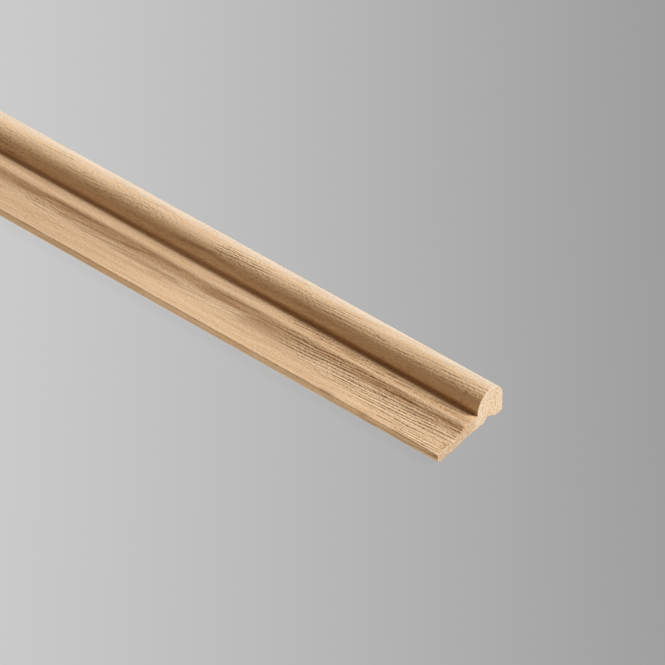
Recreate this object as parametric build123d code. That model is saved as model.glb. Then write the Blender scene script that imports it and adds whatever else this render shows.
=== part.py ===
from build123d import *
import os

# An ogee moulding in bare hardwood, run from one piece and sold by the length.
# It is fixed flat by its back, with the thin edge towards the panel and the bead towards the frame.
# X runs along the length, Y from the thin edge to the bead, and Z up from the back.
# The origin is the middle of the back. All sizes are in millimetres.

# Length as sold
length = 900.0

# Thin edge, and the flat landing behind it
edge_thickness = 3.3
landing_width = 4.4

# Ogee: a long hollow that turns over into a tight roll, from the landing up to the crest
ogee_run = 9.3
ogee_rise = 2.7
roll_radius = 2.9

# Crown: the ogee's back, which falls a little from the crest into the quirk at the bead's foot
crown_width = 4.6
crown_drop = 0.35

# Bead: a half round that stands on a short straight wall above the quirk
bead_width = 11.7
bead_wall = 0.5

# Back: two strips bear on what the moulding is fixed to, and a shallow relief lies between them
edge_strip = 9.0
foot_strip = 3.4
relief_ramp = 3.0
relief_depth = 0.7

# Groove at the relief's end, under the bead, steep on the side towards the thin edge
groove_width = 5.1
groove_lean = 1.5
groove_depth = 2.3

# Eased corners
edge_arris = 0.4
heel_arris = 1.2
bead_arris = 0.7
quirk_root = 0.2
groove_root = 0.3

# Sizes that follow from the members
bead_radius = bead_width / 2
width = landing_width + ogee_run + crown_width + bead_width
crest_height = edge_thickness + ogee_rise
quirk_height = crest_height - crown_drop
bead_centre_height = quirk_height + bead_wall
thickness = bead_centre_height + bead_radius


def at(across, height):
    """A point of the section, measured across from the thin edge and up from the back."""
    return (across - width / 2, height)


# Corners of the section, clockwise from the foot of the thin edge
edge_foot = at(0, 0)
edge_top = at(0, edge_thickness)
landing_end = at(landing_width, edge_thickness)
crest = at(landing_width + ogee_run, crest_height)
quirk = at(width - bead_width, quirk_height)
bead_foot = at(width - bead_width, bead_centre_height)
bead_top = at(width - bead_radius, thickness)
bead_side = at(width, bead_centre_height)
bead_corner = at(width, 0)
groove_outer = at(width - foot_strip, 0)
groove_apex = at(width - foot_strip - groove_width + groove_lean, groove_depth)
groove_inner = at(width - foot_strip - groove_width, relief_depth)
relief_full = at(edge_strip + relief_ramp, relief_depth)
relief_start = at(edge_strip, 0)


def ogee_curve():
    """Hollow, roll and crown, as arcs that run smoothly from one into the next."""
    level = (1, 0)
    # Two arcs that join two level lines have radii of this sum, and meet on the chord between their ends.
    radii_sum = (ogee_run**2 + ogee_rise**2) / (2 * ogee_rise)
    hollow_share = 1 - roll_radius / radii_sum
    turn = at(landing_width + hollow_share * ogee_run, edge_thickness + hollow_share * ogee_rise)
    hollow = TangentArc(landing_end, turn, tangent=level)
    roll = TangentArc(turn, crest, tangent=hollow % 1)
    crown = TangentArc(crest, quirk, tangent=level)
    return hollow + roll + crown


def bead_curve():
    """Straight wall above the quirk, then the half round over to the outer side."""
    return Line(quirk, bead_foot) + ThreePointArc(bead_foot, bead_top, bead_side)


def outer_side_and_back():
    """Outer side, down to the foot strip, and along the back past its groove and relief."""
    groove = [groove_outer, groove_apex, groove_inner]
    relief = [relief_full, relief_start]
    return Polyline(bead_side, bead_corner, *groove, *relief, edge_foot)


def eased(face, corner, radius):
    """The section with one of its corners rounded."""
    vertex = face.vertices().sort_by_distance(corner)[0]
    return fillet(vertex, radius)


def section():
    """The whole outline as a face, with its corners eased as they leave the cutters."""
    thin_edge = Polyline(edge_foot, edge_top, landing_end)
    face = make_face(thin_edge + ogee_curve() + bead_curve() + outer_side_and_back())
    face = eased(face, edge_top, edge_arris)
    face = eased(face, edge_foot, heel_arris)
    face = eased(face, bead_corner, bead_arris)
    face = eased(face, quirk, quirk_root)
    return eased(face, groove_apex, groove_root)


def ogee_moulding():
    """The section run along the full length, half of it each way from the origin."""
    return extrude(Plane.YZ * section(), amount=length / 2, both=True)


moulding = ogee_moulding()
os.makedirs("parts", exist_ok=True)
export_step(moulding, "parts/ogee_moulding.step")
print(f"section {width:.2f} x {thickness:.2f} mm, area {moulding.volume / length:.1f} mm2")
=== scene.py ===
"""A length of ogee moulding in bare hardwood, with the floor it lies on, its light and its camera.

Everything is in metres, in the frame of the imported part: X runs along the length, Y from the thin
edge to the bead, and Z up from the back.
"""

import logging
import math
from dataclasses import dataclass, field
from enum import Enum
from typing import Any, Callable, Optional, Union

import bmesh
import bpy
from mathutils import Matrix, Vector

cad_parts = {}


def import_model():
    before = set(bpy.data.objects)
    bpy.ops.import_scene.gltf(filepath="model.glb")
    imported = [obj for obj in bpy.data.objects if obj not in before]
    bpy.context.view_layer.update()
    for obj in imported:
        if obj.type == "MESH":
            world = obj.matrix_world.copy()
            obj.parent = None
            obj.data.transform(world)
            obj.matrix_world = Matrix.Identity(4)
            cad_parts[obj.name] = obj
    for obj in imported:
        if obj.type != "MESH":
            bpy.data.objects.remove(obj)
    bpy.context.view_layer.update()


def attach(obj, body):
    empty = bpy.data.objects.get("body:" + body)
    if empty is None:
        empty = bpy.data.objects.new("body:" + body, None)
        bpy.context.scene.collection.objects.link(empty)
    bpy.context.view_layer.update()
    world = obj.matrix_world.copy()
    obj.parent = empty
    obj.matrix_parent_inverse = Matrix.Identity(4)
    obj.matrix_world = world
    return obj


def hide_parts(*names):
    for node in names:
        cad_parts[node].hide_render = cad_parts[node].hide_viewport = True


LOG = logging.getLogger("ogee_moulding")

MM = 0.001
NODE = "ogee_moulding"
BODY = "root"

# Mesh attribute: how far along the section's outline each point lies
ACROSS = "across"
# Edge layer of the outline: how many cuts each edge gets
CUTS = "cuts"
# Two points nearer than this are one, and a point nearer than this to a plane lies in it
SAME_POINT = 1e-7
IN_PLANE = 0.01 * MM

Colour = tuple[float, float, float]
Pixel = tuple[float, float]
Ramp = tuple[float, float]

# Along the outline, from the roll's face to where the ogee lies wholly under it
UNDER_ROLL: Ramp = (17.6 * MM, 16.2 * MM)


class Zone(Enum):
    """Where a face of the moulding lies, which decides its finish."""

    LONG = 0
    END = 1


class Select(Enum):
    """What an edit mode selection is made of, by the name that the operators use."""

    VERTICES = "VERT"
    EDGES = "EDGE"
    FACES = "FACE"


class Group(Enum):
    """Vertex groups that say how strongly a relief is pressed in."""

    RAISED_GRAIN = "raised_grain"
    SAWN_END = "sawn_end"


def smooth_share(value: float, low: float, high: float) -> float:
    """How far a value is from low to high, as a share that starts and ends gently.

    Args:
        value: The value to place.
        low: Where the share is 0.
        high: Where the share is 1.

    Returns:
        A share from 0 to 1.
    """
    share = min(1.0, max(0.0, (value - low) / (high - low)))
    return share * share * (3.0 - 2.0 * share)


class Bench:
    """The mesh under work, shaped in edit mode by operators."""

    def __init__(self, name: str, place: Vector) -> None:
        """Starts a mesh from a single point.

        Args:
            name: The name of the new object.
            place: Where the point is.
        """
        bpy.ops.object.select_all(action="DESELECT")
        bpy.ops.mesh.primitive_plane_add(size=MM, location=place)
        self.piece = bpy.context.active_object
        self.piece.name = name
        self.piece.data.name = name
        bpy.ops.object.transform_apply(location=True, rotation=False, scale=False)
        bpy.ops.object.mode_set(mode="EDIT")
        self.pick_all(Select.VERTICES)
        bpy.ops.mesh.merge(type="CENTER")

    def mesh(self) -> bmesh.types.BMesh:
        """The mesh as it stands, for selecting and measuring."""
        made = bmesh.from_edit_mesh(self.piece.data)
        made.verts.ensure_lookup_table()
        made.faces.ensure_lookup_table()
        return made

    def pick_all(self, kind: Select) -> None:
        """Selects everything, as vertices, edges or faces."""
        bpy.ops.mesh.select_mode(type=kind.value)
        bpy.ops.mesh.select_all(action="SELECT")

    def pick(self, kind: Select, test: Callable[[Any], bool]) -> None:
        """Selects the vertices, edges or faces that pass a test, and nothing else.

        Args:
            kind: What is selected.
            test: Says whether one of them is wanted.
        """
        bpy.ops.mesh.select_mode(type=kind.value)
        bpy.ops.mesh.select_all(action="DESELECT")
        made = self.mesh()
        found = {Select.VERTICES: made.verts, Select.EDGES: made.edges, Select.FACES: made.faces}[kind]
        for one in found:
            if test(one):
                one.select_set(True)
        made.select_flush_mode()
        bmesh.update_edit_mesh(self.piece.data)

    def leave(self) -> bpy.types.Object:
        """Goes back to object mode and gives the piece."""
        bpy.ops.object.mode_set(mode="OBJECT")
        return self.piece


@dataclass(frozen=True)
class Section:
    """The moulding's section, across from the thin edge and up from the back."""

    edge_thickness: float = 3.3 * MM
    landing_width: float = 4.4 * MM
    ogee_run: float = 9.3 * MM
    ogee_rise: float = 2.7 * MM
    roll_radius: float = 2.9 * MM
    crown_width: float = 4.6 * MM
    crown_drop: float = 0.35 * MM
    bead_width: float = 11.7 * MM
    bead_wall: float = 0.5 * MM
    edge_strip: float = 9.0 * MM
    foot_strip: float = 3.4 * MM
    relief_ramp: float = 3.0 * MM
    relief_depth: float = 0.7 * MM
    groove_width: float = 5.1 * MM
    groove_lean: float = 1.5 * MM
    groove_depth: float = 2.3 * MM
    edge_arris: float = 0.4 * MM
    heel_arris: float = 1.2 * MM
    bead_arris: float = 0.7 * MM
    quirk_root: float = 0.2 * MM
    groove_root: float = 0.3 * MM

    @property
    def width(self) -> float:
        """From the thin edge to the bead's outer side."""
        return self.landing_width + self.ogee_run + self.crown_width + self.bead_width

    @property
    def crest_height(self) -> float:
        """Top of the ogee's roll."""
        return self.edge_thickness + self.ogee_rise

    @property
    def quirk_height(self) -> float:
        """Where the crown meets the bead's wall."""
        return self.crest_height - self.crown_drop

    @property
    def bead_radius(self) -> float:
        """Radius of the half round."""
        return self.bead_width / 2

    @property
    def bead_centre_height(self) -> float:
        """Height of the half round's centre."""
        return self.quirk_height + self.bead_wall

    @property
    def thickness(self) -> float:
        """From the back to the top of the bead."""
        return self.bead_centre_height + self.bead_radius

    @property
    def groove_start(self) -> float:
        """Where the groove begins, on the side towards the thin edge."""
        return self.width - self.foot_strip - self.groove_width

    def at(self, across: float, height: float) -> Vector:
        """A point of the section in the row frame, at X = 0."""
        return Vector((0.0, across - self.width / 2, height))

    @property
    def crest(self) -> Vector:
        """Top of the roll."""
        return self.at(self.landing_width + self.ogee_run, self.crest_height)

    @property
    def quirk(self) -> Vector:
        """Foot of the bead's wall."""
        return self.at(self.width - self.bead_width, self.quirk_height)

    @property
    def bead_centre(self) -> Vector:
        """Centre of the half round."""
        return self.at(self.width - self.bead_radius, self.bead_centre_height)

    @property
    def groove_apex(self) -> Vector:
        """Deepest point of the groove."""
        return self.at(self.groove_start + self.groove_lean, self.groove_depth)

    @property
    def back_start(self) -> Vector:
        """Where the back begins beside the rounded heel: the outline is measured from here."""
        return self.at(self.heel_arris, 0.0)


@dataclass
class SectionTracer:
    """Traces the section's outline with one run or arc after the other, as a draughtsman would.

    The bench holds one point to begin with, the corner of the heel, and x is where along the length
    the outline is traced.
    """

    section: Section
    bench: Bench
    x: float

    # Cells are small on the moulded face and large behind, which begins this deep inside the edge
    fine_cell: float = 0.2 * MM
    bead_cell: float = 0.23 * MM
    plain_cell: float = 1.2 * MM
    edge_depth: float = 0.1 * MM
    corner_steps: int = 4

    def __post_init__(self) -> None:
        """Sets the pen down at the corner of the heel."""
        self.pen = self.section.at(0.0, 0.0)

    def run_to(self, point: Vector) -> None:
        """Draws a straight run from the pen to a point."""
        bpy.ops.mesh.extrude_vertices_move(TRANSFORM_OT_translate={"value": point - self.pen})
        self.pen = point

    def turn(self, centre: Vector, angle: float, cell: float) -> None:
        """Draws an arc from the pen.

        Args:
            centre: The arc's centre.
            angle: How far it turns, in radians, clockwise as seen from the +X end.
            cell: The length of one step along it.
        """
        arm = self.pen - centre
        steps = max(1, round(abs(angle) * arm.length / cell))
        place = Vector((self.x, centre.y, centre.z))
        bpy.ops.mesh.spin(steps=steps, angle=angle, center=place, axis=(1.0, 0.0, 0.0))
        self.pen = centre + Matrix.Rotation(-angle, 3, "X") @ arm

    def moulded_face(self) -> None:
        """Thin edge, landing, hollow, roll, crown, wall and half round."""
        s = self.section
        level_end = s.at(s.landing_width, s.edge_thickness)
        self.run_to(s.at(0.0, s.edge_thickness))
        self.run_to(level_end)
        radii_sum = (s.ogee_run**2 + s.ogee_rise**2) / (2 * s.ogee_rise)
        hollow_radius = radii_sum - s.roll_radius
        sweep = math.asin(s.ogee_run / radii_sum)
        self.turn(level_end + Vector((0, 0, hollow_radius)), -sweep, self.fine_cell)
        self.turn(s.crest - Vector((0, 0, s.roll_radius)), sweep, self.fine_cell)
        crown_radius = (s.crown_width**2 + s.crown_drop**2) / (2 * s.crown_drop)
        fall = math.asin(s.crown_width / crown_radius)
        self.turn(s.crest - Vector((0, 0, crown_radius)), fall, 2 * self.fine_cell)
        self.run_to(s.at(s.width - s.bead_width, s.bead_centre_height))
        self.turn(s.bead_centre, math.pi, self.bead_cell)

    def side_and_back(self) -> None:
        """Outer side, foot strip, groove, relief and edge strip."""
        s = self.section
        self.run_to(s.at(s.width, 0.0))
        self.run_to(s.at(s.width - s.foot_strip, 0.0))
        self.run_to(s.groove_apex)
        self.run_to(s.at(s.groove_start, s.relief_depth))
        self.run_to(s.at(s.edge_strip + s.relief_ramp, s.relief_depth))
        self.run_to(s.at(s.edge_strip, 0.0))
        self.run_to(s.at(0.0, 0.0))

    def round_off(self, corner: Vector, radius: float) -> None:
        """Rounds one corner of the closed outline.

        Args:
            corner: The corner's place in the section.
            radius: The radius that it gets.
        """
        place = Vector((self.x, corner.y, corner.z))
        near = min(self.bench.mesh().verts, key=lambda v: (v.co - place).length)
        arms = [(e.other_vert(near).co - near.co).normalized() for e in near.link_edges]
        setback = radius / math.tan(arms[0].angle(arms[1]) / 2)
        self.bench.pick(Select.VERTICES, lambda v: (v.co - place).length < SAME_POINT)
        bpy.ops.mesh.bevel(
            offset_type="OFFSET",
            offset=setback,
            segments=self.corner_steps,
            profile=0.5,
            affect="VERTICES",
        )

    def even_out(self) -> None:
        """Divides the outline's edges into cells, one cut for all edges that need as many pieces."""
        s = self.section
        self.bench.mesh().edges.layers.int.new(CUTS)
        edges = self.bench.mesh().edges
        layer = edges.layers.int[CUTS]
        for edge in edges:
            middle = (edge.verts[0].co + edge.verts[1].co) / 2
            behind = middle.z < s.groove_depth and middle.y > -s.width / 2 + self.edge_depth
            cell = self.plain_cell if behind else self.fine_cell
            edge[layer] = max(0, round(edge.calc_length() / cell) - 1)
        for cuts in sorted({edge[layer] for edge in edges} - {0}):
            layer = self.bench.mesh().edges.layers.int[CUTS]
            self.bench.pick(Select.EDGES, lambda e: e[layer] == cuts)
            bpy.ops.mesh.subdivide(number_cuts=cuts)

    def close(self) -> None:
        """Closes the outline, rounds its corners and fills it with one face."""
        s = self.section
        bpy.ops.mesh.select_all(action="SELECT")
        bpy.ops.mesh.remove_doubles(threshold=SAME_POINT)
        bpy.ops.mesh.select_all(action="SELECT")
        bpy.ops.mesh.edge_face_add()
        self.round_off(s.at(0.0, s.edge_thickness), s.edge_arris)
        self.round_off(s.at(0.0, 0.0), s.heel_arris)
        self.round_off(s.at(s.width, 0.0), s.bead_arris)
        self.round_off(s.quirk, s.quirk_root)
        self.round_off(s.groove_apex, s.groove_root)
        self.bench.pick_all(Select.FACES)
        bpy.ops.mesh.delete(type="ONLY_FACE")
        self.even_out()
        self.bench.pick_all(Select.VERTICES)
        bpy.ops.mesh.edge_face_add()


class Signal:
    """A number that a material works out, so that its maths reads as plain expressions."""

    def __init__(self, graph: "Graph", socket: bpy.types.NodeSocket) -> None:
        """Wraps a node's output."""
        self.graph = graph
        self.socket = socket

    def worked(self, operation: str, *values: "Number") -> "Signal":
        """The result of one Math node on these values."""
        node = self.graph.node("ShaderNodeMath", {"operation": operation}, dict(enumerate(values)))
        return Signal(self.graph, node.outputs[0])

    def __add__(self, other: "Number") -> "Signal":
        """Sum, in either order."""
        return self.worked("ADD", self, other)

    __radd__ = __add__

    def __sub__(self, other: "Number") -> "Signal":
        """Difference."""
        return self.worked("SUBTRACT", self, other)

    def __rsub__(self, other: "Number") -> "Signal":
        """Difference from a plain number."""
        return self.worked("SUBTRACT", other, self)

    def __mul__(self, other: "Number") -> "Signal":
        """Product, in either order."""
        return self.worked("MULTIPLY", self, other)

    __rmul__ = __mul__

    def size(self) -> "Signal":
        """How large it is, whatever its sign."""
        return self.worked("ABSOLUTE", self)

    def sine(self) -> "Signal":
        """Sine of an angle in radians."""
        return self.worked("SINE", self)

    def exponential(self) -> "Signal":
        """The base of natural logarithms raised to it."""
        return self.worked("EXPONENT", self)

    def largest(self, *others: "Number") -> "Signal":
        """The largest of these and itself."""
        found = self
        for other in others:
            found = self.worked("MAXIMUM", found, other)
        return found

    def rise(self, low: float, high: float) -> "Signal":
        """A share that goes gently from 0 at low to 1 at high, or the other way where low is larger."""
        settings = {"interpolation_type": "SMOOTHSTEP", "clamp": True}
        values = {"Value": self, "From Min": low, "From Max": high}
        return Signal(self.graph, self.graph.node("ShaderNodeMapRange", settings, values).outputs[0])

    def near(self, middle: float, outer: float, inner: float) -> "Signal":
        """A share that is 1 within the inner distance of a middle and 0 beyond the outer one."""
        return (self - middle).size().rise(outer, inner)


Number = Union[Signal, float]

# A place by its three numbers, and one whose numbers all vary over the surface
Place = tuple[Number, Number, Number]
ShadedPlace = tuple[Signal, Signal, Signal]


@dataclass(frozen=True)
class Pattern:
    """Soft noise, with the size of its blobs along and across the fibres."""

    size: Vector
    detail: float = 1.0
    roughness: float = 0.5

    def scaled(self, factor: float, roughness: float) -> "Pattern":
        """The same pattern at another size and roughness."""
        return Pattern(self.size * factor, self.detail, roughness)


@dataclass(frozen=True)
class Touch:
    """How a surface takes the light: its gloss, and how deep and strong its bump looks."""

    gloss: float
    bump_depth: float
    bump_strength: float


class Graph:
    """The nodes of one material or of the world."""

    def __init__(self, owner: Union[bpy.types.Material, bpy.types.World]) -> None:
        """Empties the owner's node tree."""
        owner.use_nodes = True
        self.tree = owner.node_tree
        self.tree.nodes.clear()

    def node(
        self,
        kind: str,
        settings: Optional[dict[str, Any]] = None,
        values: Optional[dict[Union[str, int], Any]] = None,
    ) -> bpy.types.Node:
        """Adds one node.

        Args:
            kind: The node's type.
            settings: What it is set to, before its sockets are used.
            values: What goes into its sockets: plain values, signals or other nodes' outputs.

        Returns:
            The node.
        """
        made = self.tree.nodes.new(kind)
        for name, value in (settings or {}).items():
            setattr(made, name, value)
        for key, value in (values or {}).items():
            source = value.socket if isinstance(value, Signal) else value
            if isinstance(source, bpy.types.NodeSocket):
                self.tree.links.new(source, made.inputs[key])
            else:
                made.inputs[key].default_value = source
        return made

    def place(self) -> ShadedPlace:
        """X, Y and Z of the shaded point on the object, in metres."""
        coordinates = self.node("ShaderNodeTexCoord").outputs["Object"]
        parts = self.node("ShaderNodeSeparateXYZ", None, {0: coordinates})
        return tuple(Signal(self, part) for part in parts.outputs)

    def across(self) -> Signal:
        """How far along the section's outline the shaded point lies, in metres."""
        return Signal(self, self.node("ShaderNodeAttribute", {"attribute_name": ACROSS}).outputs["Fac"])

    def point(self, place: Place) -> bpy.types.NodeSocket:
        """Three numbers as one vector."""
        return self.node("ShaderNodeCombineXYZ", None, dict(enumerate(place))).outputs[0]

    def stretched(self, place: Place, size: Vector) -> bpy.types.NodeSocket:
        """A place in units of a pattern's size along and across the fibres."""
        return self.point(tuple(part * (1.0 / unit) for part, unit in zip(place, size)))

    def noise(self, place: Place, pattern: Pattern) -> Signal:
        """A pattern's value at a place, from 0 to 1.

        Args:
            place: The place, along and across the fibres.
            pattern: The pattern.

        Returns:
            The value.
        """
        where = self.stretched(place, pattern.size)
        values = {"Vector": where, "Scale": 1.0, "Detail": pattern.detail, "Roughness": pattern.roughness}
        return Signal(self, self.node("ShaderNodeTexNoise", None, values).outputs["Fac"])

    def cells(self, place: Place, size: Vector) -> tuple[Signal, Signal]:
        """Scattered points, about one in each cell.

        Args:
            place: The place, along and across the fibres.
            size: The size of a cell.

        Returns:
            The distance to the nearest point, in cells, and a number from 0 to 1 that is its own.
        """
        values = {"Vector": self.stretched(place, size), "Scale": 1.0}
        node = self.node("ShaderNodeTexVoronoi", {"feature": "F1"}, values)
        parts = self.node("ShaderNodeSeparateColor", None, {0: node.outputs["Color"]})
        return Signal(self, node.outputs["Distance"]), Signal(self, parts.outputs[0])

    def mixed(self, share: Number, first: Any, second: Any, blend: str = "MIX") -> bpy.types.NodeSocket:
        """Two colours mixed.

        Args:
            share: How much of the second one there is.
            first: The first colour, or an output that gives one.
            second: The second colour, or an output that gives one.
            blend: How they mix.

        Returns:
            The output with the mixed colour.
        """
        opaque = [(*c, 1.0) if isinstance(c, tuple) else c for c in (first, second)]
        settings = {"data_type": "RGBA", "blend_type": blend}
        return self.node("ShaderNodeMix", settings, {0: share, 6: opaque[0], 7: opaque[1]}).outputs[2]

    def seen_directly(self) -> Signal:
        """1 for what the camera sees, also in gloss or through glass, and 0 for light on the object."""
        path = self.node("ShaderNodeLightPath")
        kinds = ("Camera", "Glossy", "Transmission")
        camera, gloss, glass = (Signal(self, path.outputs[f"Is {kind} Ray"]) for kind in kinds)
        return camera.largest(gloss, glass)

    def end_in(self, shader: bpy.types.Node, output: str = "ShaderNodeOutputMaterial") -> None:
        """Gives a shader to the material's output, or to the world's."""
        self.node(output, None, {"Surface": shader.outputs[0]})

    def wood(self, colour: bpy.types.NodeSocket, roughness: Signal, height: Signal, touch: Touch) -> None:
        """Ends the material in a bare wooden surface.

        Args:
            colour: Its colour.
            roughness: Its roughness.
            height: How far it stands up, in units of the bump's depth.
            touch: How it takes the light.
        """
        depths = {"Strength": touch.bump_strength, "Distance": touch.bump_depth, "Height": height}
        bump = self.node("ShaderNodeBump", None, depths)
        values = {
            "Base Color": colour,
            "Roughness": roughness,
            "Normal": bump.outputs[0],
            "Specular IOR Level": touch.gloss,
        }
        self.end_in(self.node("ShaderNodeBsdfPrincipled", None, values))


@dataclass(frozen=True)
class Patch:
    """A stretch of the moulded face with torn grain or a stain.

    Its middle and reach are along the length, and its across and spread along the outline. One that
    leans moves across by that share of the way along.
    """

    middle: float
    across: float
    reach: float
    spread: float
    strength: float = 1.0
    lean: float = 0.0

    # Where its soft edge begins and ends, in shares of its reach and spread
    inside: float = 0.6
    past_reach: float = 1.25
    past_spread: float = 1.4

    def mask(self, x: Signal, across: Signal) -> Signal:
        """How strongly the patch shows at a point.

        Args:
            x: The point's place along the length.
            across: Its place along the outline.

        Returns:
            A number from 0 to the patch's strength.
        """
        run = x - self.middle
        along = run.size().rise(self.past_reach * self.reach, self.inside * self.reach)
        off = across - run * self.lean - self.across
        over = off.size().rise(self.past_spread * self.spread, self.inside * self.spread)
        return along * over * self.strength


@dataclass(frozen=True)
class WoodFigure:
    """How fibres, bands, lines and pores lie in the stock, the same for its long faces and its ends."""

    # The fibres sway from side to side, climb a little towards +X, and wander besides
    sway_depth: float = 7.2 * MM
    sway_length: float = 700 * MM
    sway_start: float = 430 * MM
    climb: float = 0.02
    wander_depth: float = 2.4 * MM
    wander: Pattern = Pattern(Vector((0.060, 0.010, 0.010)))

    # Patterns, each with its size along and across the fibres
    band: Pattern = Pattern(Vector((0.12, 0.0021, 0.0021)), 2.0, 0.55)
    streak: Pattern = Pattern(Vector((0.032, 0.0016, 0.0016)), 2.0, 0.6)
    fibre: Pattern = Pattern(Vector((0.012, 0.00045, 0.00045)))
    gap: Pattern = Pattern(Vector((0.010, 0.0013, 0.0013)))
    fleck: Pattern = Pattern(Vector((0.0011, 0.00055, 0.00055)), 1.0, 0.6)
    mottle: Pattern = Pattern(Vector((0.0035, 0.0013, 0.0013)))
    pore: Vector = Vector((0.005, 0.0009, 0.0009))

    # Lines of pores, side by side in sheets that tilt up from the level, and how they stray
    line_pitch: float = 1.02 * MM
    line_tilt: float = math.radians(25)
    line_stray: Pattern = Pattern(Vector((0.045, 0.0026, 0.0026)))
    line_stray_depth: float = 2.0

    def along_fibres(self, graph: Graph, bend: Number = 0.0) -> ShadedPlace:
        """The shaded point measured along and across the swaying fibres.

        Args:
            graph: The material's nodes.
            bend: How much further across the fibres lie here.

        Returns:
            Distances along, across and up, in metres.
        """
        x, y, z = graph.place()
        drift = graph.noise((x, y, z), self.wander)
        sway = ((x - self.sway_start) * (math.tau / self.sway_length)).sine() * self.sway_depth
        return x, y - (sway + (drift - 0.5) * self.wander_depth + bend), z - x * self.climb

    def lines(self, graph: Graph, place: ShadedPlace) -> Signal:
        """Thin lines of pores that run side by side along the fibres.

        Args:
            graph: The material's nodes.
            place: The shaded point, along and across the fibres.

        Returns:
            A number from -1 between the lines to 1 on them.
        """
        _, over, up = place
        stray = graph.noise(place, self.line_stray)
        across_sheets = math.cos(self.line_tilt) / self.line_pitch
        up_sheets = math.sin(self.line_tilt) / self.line_pitch
        count = over * across_sheets + up * up_sheets
        return ((count + stray * self.line_stray_depth) * math.tau).sine()


class Members:
    """Shares from 0 to 1 that say which member of the section the shaded point lies on."""

    def __init__(self, x: Signal, across: Signal, mottle: Signal) -> None:
        """Places the members across the outline, and where they change along the length.

        Args:
            x: The shaded point's place along the length.
            across: Its place along the outline, from the back's start.
            mottle: A pattern that frays the edges of the top and the quirk.
        """
        under_roll = across.rise(*UNDER_ROLL)
        fray = mottle - 0.5
        self.near_end = x.rise(385 * MM, 420 * MM)
        self.edge = across.rise(5.2 * MM, 4.2 * MM)
        self.landing = across.rise(8.5 * MM, 6.5 * MM)
        self.hollow = across.rise(9.5 * MM, 13.0 * MM) * under_roll
        # Painted shade below the roll, a little stronger near the +X end
        below_roll = across.rise(12.9 * MM, 15.3 * MM) * across.rise(17.4 * MM, 16.2 * MM)
        self.below_roll = below_roll * (self.near_end * 0.15 + 0.85)
        self.roll = across.near(17.2 * MM, 1.1 * MM, 0.5 * MM) * x.rise(370 * MM, 400 * MM)
        self.crown = across.near(19.2 * MM, 1.9 * MM, 1.0 * MM) * x.rise(374 * MM, 394 * MM)
        # Painted shade in the quirk, frayed, and stronger towards +X
        quirk = (across + fray * (0.8 * MM)).near(23.0 * MM, 1.4 * MM, 0.5 * MM)
        self.quirk = quirk * (x.rise(350 * MM, 395 * MM) * 0.7 + 0.3)
        # Painted shade on the bead's flank, which faces away from the key
        self.flank = across.rise(30.5 * MM, 27.5 * MM) * across.rise(20.5 * MM, 22.5 * MM)
        # Painted highlight: the bead's top is made paler and creamier, with a frayed lower edge
        self.top = (across + fray * (4 * MM)).rise(31.2 * MM, 34 * MM) * across.rise(41 * MM, 38 * MM)
        self.far = x.rise(362 * MM, 312 * MM) * across.rise(21.0 * MM, 20.0 * MM)

        # Painted light: lighter, warmer colour on the bead's shoulder, the thin edge and the hollow's
        # slope, and half as much on the crown's back, the landing near +X and the roll
        shoulder = across.near(30.2 * MM, 3.4 * MM, 1.6 * MM)
        slope = across.rise(9.0 * MM, 11.5 * MM) * under_roll
        crown_back = across.near(20.5 * MM, 1.2 * MM, 0.4 * MM)
        landing_end = self.landing * x.rise(395 * MM, 425 * MM)
        self.painted_light_mask = shoulder.largest(self.edge, slope, crown_back.largest(landing_end, self.roll) * 0.5)


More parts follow.
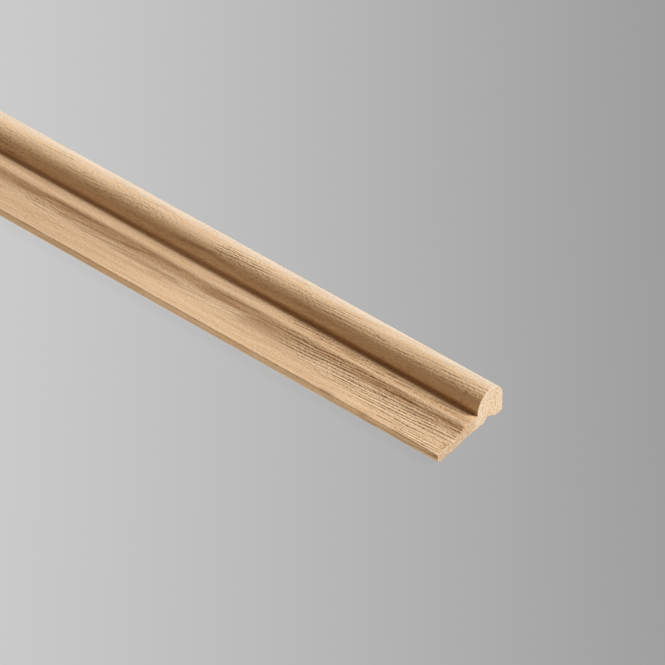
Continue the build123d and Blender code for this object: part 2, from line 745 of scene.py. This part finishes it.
@dataclass(frozen=True)
class LongGrain:
    """Planed and moulded faces of bare light hardwood, with open pores along the grain."""

    # The wood itself runs from pale to tan, and pores and dusky streaks multiply it by the groove
    pale: Colour = (0.87, 0.63, 0.408)
    tan: Colour = (0.72, 0.48, 0.272)
    groove: Colour = (0.41, 0.265, 0.145)

    # Mixed in: a painted highlight on the bead's top, painted light on several members, and a painted
    # highlight on ridges and light flecks
    top_highlight: Colour = (0.83, 0.705, 0.57)
    painted_light: Colour = (0.985, 0.715, 0.465)
    painted_glint: Colour = (0.985, 0.755, 0.50)
    member_share: float = 0.8

    # Multiplied in: painted shade on the bead's flank, below the roll and in the quirk, and a darker,
    # warmer tone over the far stretch and on the crown near +X
    flank: Colour = (0.97, 0.88, 0.80)
    shade: Colour = (0.79, 0.675, 0.56)
    far: Colour = (0.91, 0.88, 0.86)
    crown: Colour = (0.90, 0.85, 0.79)
    quirk: Colour = (0.70, 0.59, 0.46)

    # Where a pattern's value turns into a mark: from no mark to a full one
    line_dark: Ramp = (0.45, 0.95)
    line_light: Ramp = (-0.2, -0.9)
    gap_dark: Ramp = (0.34, 0.54)
    gap_light: Ramp = (0.42, 0.58)
    gap_edge: Ramp = (0.48, 0.62)
    fleck_light: Ramp = (0.54, 0.68)
    fleck_dark: Ramp = (0.47, 0.33)
    fibre_dark: Ramp = (0.50, 0.36)
    streak_dark: Ramp = (0.52, 0.40)
    band_tan: Ramp = (0.32, 0.68)
    tone_range: Ramp = (-0.2, 1.1)
    pore_size: Ramp = (0.22, 0.11)
    pore_choice: Ramp = (0.6, 0.9)

    roughness: float = 0.62
    touch: Touch = Touch(0.4, 0.22 * MM, 1.0)
    figure: WoodFigure = WoodFigure()
    patches: tuple[Patch, ...] = (
        Patch(359 * MM, 29.9 * MM, 12 * MM, 2.2 * MM, 0.85),
        Patch(389 * MM, 29.9 * MM, 15 * MM, 1.9 * MM, 0.55),
        Patch(438 * MM, 29.6 * MM, 15 * MM, 2.2 * MM, 0.7),
        Patch(309 * MM, 29.5 * MM, 20 * MM, 2.4 * MM, 0.4, 0.09),
        Patch(414 * MM, 28.9 * MM, 18 * MM, 1.5 * MM, 0.55),
        Patch(391 * MM, 20.0 * MM, 10 * MM, 1.1 * MM, 0.9),
        Patch(424 * MM, 19.8 * MM, 22 * MM, 1.4 * MM, 1.0),
    )
    stains: tuple[Patch, ...] = (
        Patch(342 * MM, 27.0 * MM, 9 * MM, 0.6 * MM, 0.5, 0.06),
        Patch(354 * MM, 26.6 * MM, 4 * MM, 0.5 * MM, 0.3),
        Patch(438 * MM, 4.1 * MM, 6 * MM, 0.9 * MM, 0.5),
        Patch(408 * MM, 4.0 * MM, 3 * MM, 0.9 * MM, 0.35),
        Patch(429 * MM, 15.5 * MM, 5 * MM, 0.25 * MM, 0.7),
        Patch(446 * MM, 15.6 * MM, 5 * MM, 0.25 * MM, 0.7),
    )

    # The largest patch widens from the roll over the landing towards +X: where its lower edge starts,
    # how that falls across, and how softly the patch begins at its edge and along the length
    wedge_start: float = 383 * MM
    wedge_across: float = 11.5 * MM
    wedge_slope: float = -0.14
    wedge_edge: Ramp = (-0.8 * MM, 1.2 * MM)
    wedge_reach: Ramp = (378 * MM, 390 * MM)

    # Open grain scattered over the rest of the length, short of the part that the patches cover
    scatter: Pattern = Pattern(Vector((1 / 28, 1 / 260, 1.0)))
    scatter_share: Ramp = (0.53, 0.62)
    scatter_reach: Ramp = (300 * MM, 280 * MM)
    scatter_strength: float = 0.8

    def material(self) -> bpy.types.Material:
        """Makes the finish.

        Returns:
            The material.
        """
        made = bpy.data.materials.new("bare_hardwood_face")
        graph = Graph(made)
        face = LongFace(graph, self)
        roughness = self.roughness + (face.fibres - 0.5) * 0.2
        graph.wood(face.colour(), roughness, face.height(), self.touch)
        return made


class LongFace:
    """The shaded point of a long face: the wood's patterns there, and what they make of it."""

    def __init__(self, graph: Graph, finish: LongGrain) -> None:
        """Works out the patterns, each of which is a number that varies over the face.

        Args:
            graph: The material's nodes.
            finish: The finish, with its colours, patterns and patches.
        """
        figure = finish.figure
        self.graph = graph
        self.finish = finish
        self.x = graph.place()[0]
        self.across = graph.across()
        self.opened, bend = self.torn()
        place = figure.along_fibres(graph, bend)
        self.bands = graph.noise(place, figure.band)
        self.streaks = graph.noise(place, figure.streak)
        self.fibres = graph.noise(place, figure.fibre)
        self.gaps = graph.noise(place, figure.gap)
        self.flecks = graph.noise(place, figure.fleck)
        self.mottle = graph.noise(place, figure.mottle)
        self.light = self.flecks.rise(*finish.fleck_light)
        self.dark = self.flecks.rise(*finish.fleck_dark)
        self.lines = figure.lines(graph, place) + (self.fibres - 0.5) * 1.4
        self.pores = self.pored(place)
        self.on = Members(self.x, self.across, self.mottle)

    def torn(self) -> tuple[Signal, Number]:
        """Where the cutters have torn the grain open.

        Returns:
            How open the grain is, and how much further across the fibres lie in a leaning patch.
        """
        finish, x, across = self.finish, self.x, self.across
        lower_edge = (x - finish.wedge_start) * finish.wedge_slope + finish.wedge_across
        wedge = (across - lower_edge).rise(*finish.wedge_edge) * x.rise(*finish.wedge_reach)
        scattered = self.graph.noise((x, across, 0.0), finish.scatter).rise(*finish.scatter_share)
        scattered = scattered * x.rise(*finish.scatter_reach) * finish.scatter_strength
        opened = scattered.largest(wedge * across.rise(*UNDER_ROLL))
        bend: Number = 0.0
        for patch in finish.patches:
            mask = patch.mask(x, across)
            opened = opened.largest(mask)
            if patch.lean:
                bend = mask * (x - patch.middle) * (patch.lean / patch.strength) + bend
        return opened, bend

    def pored(self, place: ShadedPlace) -> Signal:
        """Beaded lines of pores where the grain is open, and single pores elsewhere.

        Args:
            place: The point, along and across the fibres.

        Returns:
            How dark the pores are, from 0 to 1.
        """
        finish = self.finish
        beads = self.lines.rise(*finish.line_dark) * self.gaps.rise(*finish.gap_dark) * self.opened
        distance, own = self.graph.cells(place, finish.figure.pore)
        single = distance.rise(*finish.pore_size) * own.rise(*finish.pore_choice)
        return (beads * (0.62 + 0.38 * self.dark)).largest(single * (0.2 + 0.6 * self.opened))

    def stained(self) -> Signal:
        """How dark the small stains are, mottled by the flecks."""
        first, *others = (stain.mask(self.x, self.across) for stain in self.finish.stains)
        return first.largest(*others) * (0.3 + self.flecks)

    def dusky(self) -> Signal:
        """How dark the flecks, the streaks and the fibres are: the flecks more on the bead's flank, as
        painted shade, and all of them less on the lit roll, as painted light.

        Returns:
            A share of the groove's colour.
        """
        finish, on = self.finish, self.on
        flecks = self.dark * (0.10 + 0.12 * self.opened + 0.18 * on.flank + 0.12 * on.crown)
        edge = on.edge * self.gaps.rise(*finish.gap_edge) * (on.near_end * 0.3 + 0.12)
        streaks = self.streaks.rise(*finish.streak_dark) * (0.18 + 0.34 * on.hollow)
        fibres = self.fibres.rise(*finish.fibre_dark) * on.crown * 0.6
        return flecks.largest(edge, streaks, fibres) * (1.0 - 0.7 * on.roll)

    def painted_glint_share(self) -> Signal:
        """How much painted highlight the light flecks and the ridges between open lines get, more on the
        crown and none in the shaded quirk and flank.

        Returns:
            A share of the glint.
        """
        finish, on = self.finish, self.on
        ridges = self.lines.rise(*finish.line_light) * self.gaps.rise(*finish.gap_light) * self.opened
        flecks = self.light * (0.15 + 0.25 * on.crown)
        return flecks.largest(ridges * (0.55 + 0.4 * on.landing)) * (1.0 - on.quirk.largest(on.flank))

    def colour(self) -> bpy.types.NodeSocket:
        """Mixes the wood's colour, with painted light, painted highlights and painted shade on its members.

        Returns:
            The output with the colour.
        """
        graph, finish, on = self.graph, self.finish, self.on
        tone = self.bands.rise(*finish.band_tan) * 0.6 + (self.fibres - 0.5) * 1.1
        tone = tone + (self.mottle - 0.5) * 0.3 + (self.streaks - 0.5)
        made = graph.mixed(tone.rise(*finish.tone_range), finish.pale, finish.tan)
        # Painted highlight on the bead's top
        made = graph.mixed(on.top * finish.member_share, made, finish.top_highlight)
        # Painted light on the members that are made to look brighter
        made = graph.mixed(on.painted_light_mask * finish.member_share, made, finish.painted_light)
        # The flank, below-roll and quirk colours are painted shade; the others darken the wood by place and
        # by its marks
        multiplied = (
            (on.flank, finish.flank),
            (on.below_roll, finish.shade),
            (on.far, finish.far),
            (on.crown, finish.crown),
            (on.quirk, finish.quirk),
            (self.dusky(), finish.groove),
            (self.pores.largest(self.stained()), finish.groove),
        )
        for share, colour in multiplied:
            made = graph.mixed(share, made, colour, "MULTIPLY")
        # Painted highlight on the ridges and the light flecks
        return graph.mixed(self.painted_glint_share(), made, finish.painted_glint)

    def height(self) -> Signal:
        """How far the surface stands up, in units of the bump's depth.

        Returns:
            The height: fibres, flecks and ridges up, lines and pores down.
        """
        fibres = (self.fibres - 0.5) * (-0.25 - 0.25 * self.opened)
        flecks = (self.light - self.dark) * (0.10 + 0.12 * self.opened)
        return fibres + flecks - self.lines * 0.1 * self.opened - self.pores * 0.5


@dataclass(frozen=True)
class EndGrain:
    """Sawn ends, where the fibres and pores are cut across, a little darker on the thin web."""

    pale: Colour = (0.668, 0.552, 0.423)
    tan: Colour = (0.545, 0.358, 0.208)
    web: Colour = (0.90, 0.92, 0.94)
    web_reach: Ramp = (5 * MM, 0.0)
    roughness: float = 0.8
    touch: Touch = Touch(0.3, 0.15 * MM, 0.5)
    figure: WoodFigure = WoodFigure()

    # The figure's patterns as they look across the grain
    band: Pattern = figure.band.scaled(1.0, 0.6)
    speck: Pattern = figure.fibre.scaled(1.75, 0.6)
    cloud: Pattern = figure.fibre.scaled(8.0, 0.5)
    pore: Vector = figure.pore * 0.8

    # Where they turn the wood tan: from not at all to fully
    speck_tan: Ramp = (0.44, 0.60)
    cloud_tan: Ramp = (0.35, 0.55)
    band_tan: Ramp = (0.4, 0.7)
    pore_size: Ramp = (0.4, 0.2)
    pore_choice: Ramp = (0.2, 0.6)

    def material(self) -> bpy.types.Material:
        """Makes the finish.

        Returns:
            The material.
        """
        made = bpy.data.materials.new("bare_hardwood_end")
        graph = Graph(made)
        place = self.figure.along_fibres(graph)
        bands, specks, clouds = (graph.noise(place, p) for p in (self.band, self.speck, self.cloud))
        distance, own = graph.cells(place, self.pore)
        pores = distance.rise(*self.pore_size) * own.rise(*self.pore_choice)
        on_web = graph.place()[1].rise(*self.web_reach)
        tone = specks.rise(*self.speck_tan) * (0.38 + 0.32 * clouds.rise(*self.cloud_tan))
        tone = tone + pores * 0.25 + bands.rise(*self.band_tan) * 0.12 + on_web * 0.4
        colour = graph.mixed(tone.rise(0.0, 1.0), self.pale, self.tan)
        colour = graph.mixed(on_web, colour, self.web, "MULTIPLY")
        height = (specks - 0.5) * -1.2 - pores
        graph.wood(colour, self.roughness - specks * 0.1, height, self.touch)
        return made


@dataclass(frozen=True)
class Relief:
    """A pattern pressed into the mesh itself, from a clouded texture that is stretched and turned.

    Its reach is the size of its blobs, its lean how far the fibres turn from X seen from above, and its
    tilt how far they fall.
    """

    name: str
    group: Group
    reach: Vector
    lean: float
    depth: float
    tilt: float = math.radians(-1.5)


@dataclass
class MouldedLength:
    """The stock itself: the section run along its length, with raised grain and sawn ends."""

    section: Section = field(default_factory=Section)
    half_length: float = 450 * MM
    stretch: float = 60 * MM
    fine_reach: float = 270 * MM
    fine_step: float = 1.5 * MM
    plain_step: float = 4 * MM
    smooth_angle: float = math.radians(32)

    # Sawn ends: their arris, their grid, how deep their skin is, and how squarely a face there
    # looks along X that belongs to the end, or to its finish
    end_arris: float = 0.12 * MM
    end_grid: float = 0.7 * MM
    end_skin: float = 0.3 * MM
    end_facing: float = 0.9
    finish_facing: float = 0.8

    # Raised grain: full near the +X end and a share of it elsewhere, on the bead and underneath
    calm_share: float = 0.25
    grain_reach: Ramp = (370 * MM, 430 * MM)
    grain_facing: Ramp = (-0.6, 0.2)
    bead_share: float = 0.3
    least_share: float = 0.1
    reliefs: tuple[Relief, ...] = (
        Relief("ribs", Group.RAISED_GRAIN, Vector((0.030, 0.0009, 0.0009)), math.radians(3.7), 0.10 * MM),
        Relief("fibres", Group.RAISED_GRAIN, Vector((0.008, 0.0005, 0.0005)), math.radians(3.7), 0.05 * MM),
        Relief("saw", Group.SAWN_END, Vector((0.001, 0.0011, 0.0011)), 0.0, 0.08 * MM),
    )

    # Flat sheet: rows of the length, the gap between them, and the ends' places above them
    sheet_rows: int = 3
    sheet_gap: float = 2 * MM
    sheet_margin: float = 1 * MM
    ends_room: float = 14 * MM
    ends_start: float = 20 * MM
    ends_apart: float = 50 * MM

    def build(self) -> bpy.types.Object:
        """Models the piece from its traced section.

        Returns:
            The finished mesh object, at the origin.
        """
        x = self.half_length - self.end_arris
        heel = self.section.at(0.0, 0.0)
        bench = Bench("ogee_length", Vector((x, heel.y, heel.z)))
        tracer = SectionTracer(self.section, bench, x)
        tracer.moulded_face()
        tracer.side_and_back()
        tracer.close()
        girth = self.measure_across(bench)
        self.run_out(bench)
        self.ease_ends(bench)
        self.grid_ends(bench)
        self.divide_length(bench)
        bpy.ops.mesh.select_all(action="SELECT")
        bpy.ops.mesh.normals_make_consistent(inside=False)
        piece = bench.leave()
        self.weigh(piece)
        for relief in self.reliefs:
            self.press(piece, relief)
        bpy.ops.object.shade_smooth_by_angle(angle=self.smooth_angle)
        self.lay_out_sheet(piece, girth)
        return piece

    def measure_across(self, bench: Bench) -> float:
        """Writes each outline point's distance along the outline, from the back's start at the heel.

        Args:
            bench: The mesh, which holds the outline's one face.

        Returns:
            The length of the whole outline.
        """
        bench.mesh().verts.layers.float.new(ACROSS)
        mesh = bench.mesh()
        layer = mesh.verts.layers.float[ACROSS]
        loop = list(mesh.faces[0].verts)
        start = self.section.back_start
        first = min(range(len(loop)), key=lambda i: (loop[i].co.yz - start.yz).length)
        loop = loop[first:] + loop[:first]
        if loop[1].co.z < loop[-1].co.z:
            loop = [loop[0], *reversed(loop[1:])]
        run = 0.0
        for before, after in zip(loop, loop[1:]):
            run += (after.co - before.co).length
            after[layer] = run
        bmesh.update_edit_mesh(bench.piece.data)
        return run + (loop[0].co - loop[-1].co).length

    def run_out(self, bench: Bench) -> None:
        """Runs the section out along the length, one stretch after the other."""
        bench.pick_all(Select.FACES)
        end = self.half_length - self.end_arris
        stretches = round(2 * self.half_length / self.stretch)
        marks = [self.half_length - self.stretch * i for i in range(1, stretches)]
        for before, after in zip([end, *marks], [*marks, -end]):
            bpy.ops.mesh.extrude_region_move(TRANSFORM_OT_translate={"value": (after - before, 0, 0)})

    def ease_ends(self, bench: Bench) -> None:
        """Takes the sharp corner off both sawn ends."""
        bench.pick(Select.FACES, lambda f: abs(f.normal.x) > self.end_facing)
        bpy.ops.mesh.inset(thickness=self.end_arris, depth=self.end_arris, use_individual=True)

    def at_end(self, place: Vector) -> bool:
        """Whether a point lies in the plane of a sawn end, before the saw's marks are pressed in."""
        return abs(place.x) > self.half_length - IN_PLANE

    def grid_ends(self, bench: Bench) -> None:
        """Cuts the end faces into a grid, fine enough to carry the saw's marks."""
        s, step = self.section, self.end_grid
        across = [s.at(i * step, 0.0) for i in range(1, int(s.width / step) + 1)]
        up = [Vector((0, 0, i * step)) for i in range(1, int(s.thickness / step) + 1)]
        for place, normal in [(p, (0, 1, 0)) for p in across] + [(p, (0, 0, 1)) for p in up]:
            bench.pick(Select.FACES, lambda f: all(self.at_end(v.co) for v in f.verts))
            bpy.ops.mesh.bisect(plane_co=place, plane_no=normal)

    def divide_length(self, bench: Bench) -> None:
        """Divides each stretch along the length, finely near the +X end."""

        def fine(edge: bmesh.types.BMEdge) -> bool:
            """Whether an edge lies near the +X end."""
            return (edge.verts[0].co.x + edge.verts[1].co.x) / 2 > self.fine_reach

        for wanted, step in ((True, self.fine_step), (False, self.plain_step)):
            bench.pick(Select.EDGES, lambda e: e.calc_length() > self.stretch / 2 and fine(e) == wanted)
            bpy.ops.mesh.subdivide(number_cuts=round(self.stretch / step) - 1)

    def weigh(self, piece: bpy.types.Object) -> None:
        """Says how strongly each point takes the raised grain and the saw's marks.

        Args:
            piece: The mesh, whose vertex groups are written.
        """
        grain, sawn = (piece.vertex_groups.new(name=group.value) for group in Group)
        quirk_y = self.section.quirk.y
        for vertex in piece.data.vertices:
            if self.at_end(vertex.co):
                sawn.add([vertex.index], 1.0, "REPLACE")
                continue
            near_end = smooth_share(vertex.co.x, *self.grain_reach)
            share = self.calm_share + (1.0 - self.calm_share) * near_end
            share *= 1.0 if vertex.co.y < quirk_y else self.bead_share
            share *= smooth_share(vertex.normal.z, *self.grain_facing)
            grain.add([vertex.index], max(self.least_share, share), "REPLACE")

    def press(self, piece: bpy.types.Object, relief: Relief) -> None:
        """Presses one pattern into the mesh. It only goes inwards, so the stock stays within its size.

        Args:
            piece: The mesh to change.
            relief: The pattern.
        """
        texture = bpy.data.textures.new(relief.name, type="CLOUDS")
        texture.noise_scale = 1.0
        texture.noise_depth = 1
        frame = bpy.data.objects.new(relief.name, None)
        bpy.context.scene.collection.objects.link(frame)
        frame.scale = relief.reach
        frame.rotation_euler = (0.0, relief.tilt, relief.lean)
        bpy.context.view_layer.update()
        change = piece.modifiers.new(relief.name, "DISPLACE")
        change.texture = texture
        change.texture_coords = "OBJECT"
        change.texture_coords_object = frame
        change.vertex_group = relief.group.value
        change.mid_level = 1.0
        change.strength = relief.depth
        bpy.ops.object.modifier_apply(modifier=change.name)
        bpy.data.objects.remove(frame)

    def on_end(self, polygon: bpy.types.MeshPolygon, facing: float) -> bool:
        """Whether a face lies in the skin of a sawn end and looks along X at least this squarely."""
        near = abs(polygon.center.x) > self.half_length - self.end_skin
        return near and abs(polygon.normal.x) > facing

    def lay_out_sheet(self, piece: bpy.types.Object, girth: float) -> None:
        """Lays the faces out flat, as rows of the length one over the other, with the ends above them.

        Args:
            piece: The mesh, which gets a UV map in which nothing overlaps.
            girth: The length of the section's outline.
        """
        mesh = piece.data
        layer = mesh.uv_layers.new(name="OFBake")
        across = mesh.attributes[ACROSS].data
        row_length = 2 * self.half_length / self.sheet_rows
        row_height = girth + self.sheet_gap
        ends_foot = self.sheet_rows * row_height + self.sheet_margin
        side = max(row_length, self.sheet_rows * row_height + self.ends_room) + self.sheet_gap
        for polygon in mesh.polygons:
            middle = polygon.center.x
            on_end = self.on_end(polygon, self.end_facing)
            row = min(self.sheet_rows - 1, int((self.half_length - middle) / row_length))
            runs = [across[i].value for i in polygon.vertices]
            if max(runs) - min(runs) > girth / 2:
                runs = [run + girth if run < girth / 2 else run for run in runs]
            for loop, index, run in zip(polygon.loop_indices, polygon.vertices, runs):
                place = mesh.vertices[index].co
                if on_end:
                    u = self.ends_start + place.y + (self.ends_apart if middle > 0 else 0.0)
                    v = ends_foot + place.z
                else:
                    u = self.half_length - row * row_length - place.x + self.sheet_margin
                    v = row * row_height + self.sheet_margin + run
                layer.data[loop].uv = (u / side, v / side)

    def dress(self, piece: bpy.types.Object) -> None:
        """Gives the long faces and the sawn ends their finishes."""
        finishes = {Zone.LONG: LongGrain(), Zone.END: EndGrain()}
        for zone in Zone:
            piece.data.materials.append(finishes[zone].material())
        for polygon in piece.data.polygons:
            zone = Zone.END if self.on_end(polygon, self.finish_facing) else Zone.LONG
            polygon.material_index = zone.value


@dataclass(frozen=True)
class Studio:
    """The floor, the plain light and the camera."""

    key_from: Vector = Vector((0.637, 0.513, 0.576))
    key_strength: float = 3.8
    key_colour: Colour = (1.0, 1.0, 1.0)
    key_spread: float = math.radians(22)
    fill_strength: float = 0.2
    fill_colour: Colour = (1.0, 0.83, 0.61)

    # The floor glows by these shares and is lit by the rest: in the colour of its bounce where it
    # lights the object, and in its own grey where the camera sees it
    bounce: Colour = (0.92, 0.83, 0.69)
    glow_share: float = 0.7
    seen_share: float = 0.95

    # The floor's grey about one point, where a painted pool of light and shade lies: how far it falls to
    # each side, and how soon that fades
    floor_tone: float = 0.46
    floor_fall: float = 0.206
    floor_reach: float = 0.25
    floor_fade: float = 0.6
    floor_middle: tuple[float, float] = (0.434, -0.033)
    floor_size: float = 60.0
    floor_gap: float = 0.1 * MM

    # The camera's turn and tilt, its focal length in pixels, and the pixel where the heel shows
    turn: float = math.radians(39.63)
    tilt: float = math.radians(42.18)
    distance: float = 1.905
    focal: float = 6601.0
    frame_side: float = 665.0
    sensor: float = 36.0
    clip_end: float = 500.0
    heel_pixel: Pixel = (437.66, 463.80)
    heel: Vector = Vector((450 * MM, -15 * MM, 0.0))

    @property
    def level(self) -> Colour:
        """How brightly the floor shows a colour of 1, in red, green and blue."""
        key = self.key_strength / math.pi * self.key_from.normalized().z
        return tuple(key * k + self.fill_strength * f for k, f in zip(self.key_colour, self.fill_colour))

    def tone(self, graph: Graph) -> Signal:
        """The floor's grey, with a painted pool of light on the left of the camera's view that falls off to
        painted shade on its right.

        Args:
            graph: The floor's nodes.

        Returns:
            The grey at the shaded point.
        """
        x, y, _ = graph.place()
        middle_x, middle_y = self.floor_middle
        side = (x - middle_x) * math.cos(self.turn) + (y - middle_y) * math.sin(self.turn)
        depth = (x - middle_x) * math.sin(self.turn) - (y - middle_y) * math.cos(self.turn)
        fade = side * side * (-0.5 / self.floor_reach**2) + depth * depth * -self.floor_fade
        steepest = self.floor_fall / self.floor_reach * math.exp(0.5)
        return self.floor_tone - side * fade.exponential() * steepest

    def lay_floor(self) -> None:
        """Lays the floor just under the stock. It shows its own grey, and takes the stock's shadow."""
        bpy.ops.object.select_all(action="DESELECT")
        bpy.ops.mesh.primitive_plane_add(size=self.floor_size, location=(0, 0, -self.floor_gap))
        floor = bpy.context.active_object
        floor.name = "floor"
        bpy.ops.object.transform_apply(location=True, rotation=False, scale=False)
        made = bpy.data.materials.new("plain_floor")
        graph = Graph(made)
        tone = self.tone(graph)
        seen = graph.seen_directly()
        lit = graph.mixed(seen, self.bounce, graph.point(tuple(tone * (1.0 / part) for part in self.level)))
        grey = graph.mixed(seen, self.bounce, graph.point((tone, tone, tone)))
        diffuse = graph.node("ShaderNodeBsdfDiffuse", None, {"Color": lit})
        plain = graph.node("ShaderNodeEmission", None, {"Color": grey, "Strength": 1.0})
        share = seen * (self.seen_share - self.glow_share) + self.glow_share
        shaders = {0: share, 1: diffuse.outputs[0], 2: plain.outputs[0]}
        graph.end_in(graph.node("ShaderNodeMixShader", None, shaders))
        floor.data.materials.append(made)

    def light(self) -> None:
        """Hangs the soft key light, and fills the rest from all round."""
        bpy.ops.object.light_add(type="SUN", location=self.key_from)
        key = bpy.context.active_object
        key.name = "key"
        key.data.energy = self.key_strength
        key.data.color = self.key_colour
        key.data.angle = self.key_spread
        key.rotation_mode = "QUATERNION"
        key.rotation_quaternion = self.key_from.to_track_quat("Z", "Y")
        world = bpy.data.worlds.new("studio")
        bpy.context.scene.world = world
        graph = Graph(world)
        fill = tuple(self.fill_strength * part for part in self.fill_colour)
        colour = graph.mixed(graph.seen_directly(), fill, (self.floor_tone,) * 3)
        background = graph.node("ShaderNodeBackground", None, {"Color": colour, "Strength": 1.0})
        graph.end_in(background, "ShaderNodeOutputWorld")

    def place_camera(self) -> None:
        """Puts the camera where the stock's near end shows as it should."""
        view = Matrix.Rotation(self.turn, 3, "Z") @ Matrix.Rotation(math.pi / 2 - self.tilt, 3, "X")
        right, up, back = view.col
        side, drop = ((p - self.frame_side / 2) * self.distance / self.focal for p in self.heel_pixel)
        data = bpy.data.cameras.new("camera")
        data.sensor_width = self.sensor
        data.lens = self.focal / self.frame_side * self.sensor
        data.clip_end = self.clip_end
        camera = bpy.data.objects.new("camera", data)
        bpy.context.scene.collection.objects.link(camera)
        camera.location = self.heel - right * side + up * drop + back * self.distance
        camera.rotation_mode = "QUATERNION"
        camera.rotation_quaternion = view.to_quaternion()
        bpy.context.scene.camera = camera

    def build(self) -> None:
        """Sets all of it up, floor first."""
        self.lay_floor()
        self.light()
        self.place_camera()
        bpy.context.scene.view_settings.view_transform = "Standard"


def main() -> None:
    """Builds the moulding and the studio around it."""
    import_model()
    stock = MouldedLength()
    piece = stock.build()
    stock.dress(piece)
    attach(piece, BODY)
    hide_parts(NODE)
    LOG.info("%s: %d faces", piece.name, len(piece.data.polygons))
    Studio().build()


if __name__ == "__main__":
    logging.basicConfig(level=logging.INFO)
    main()
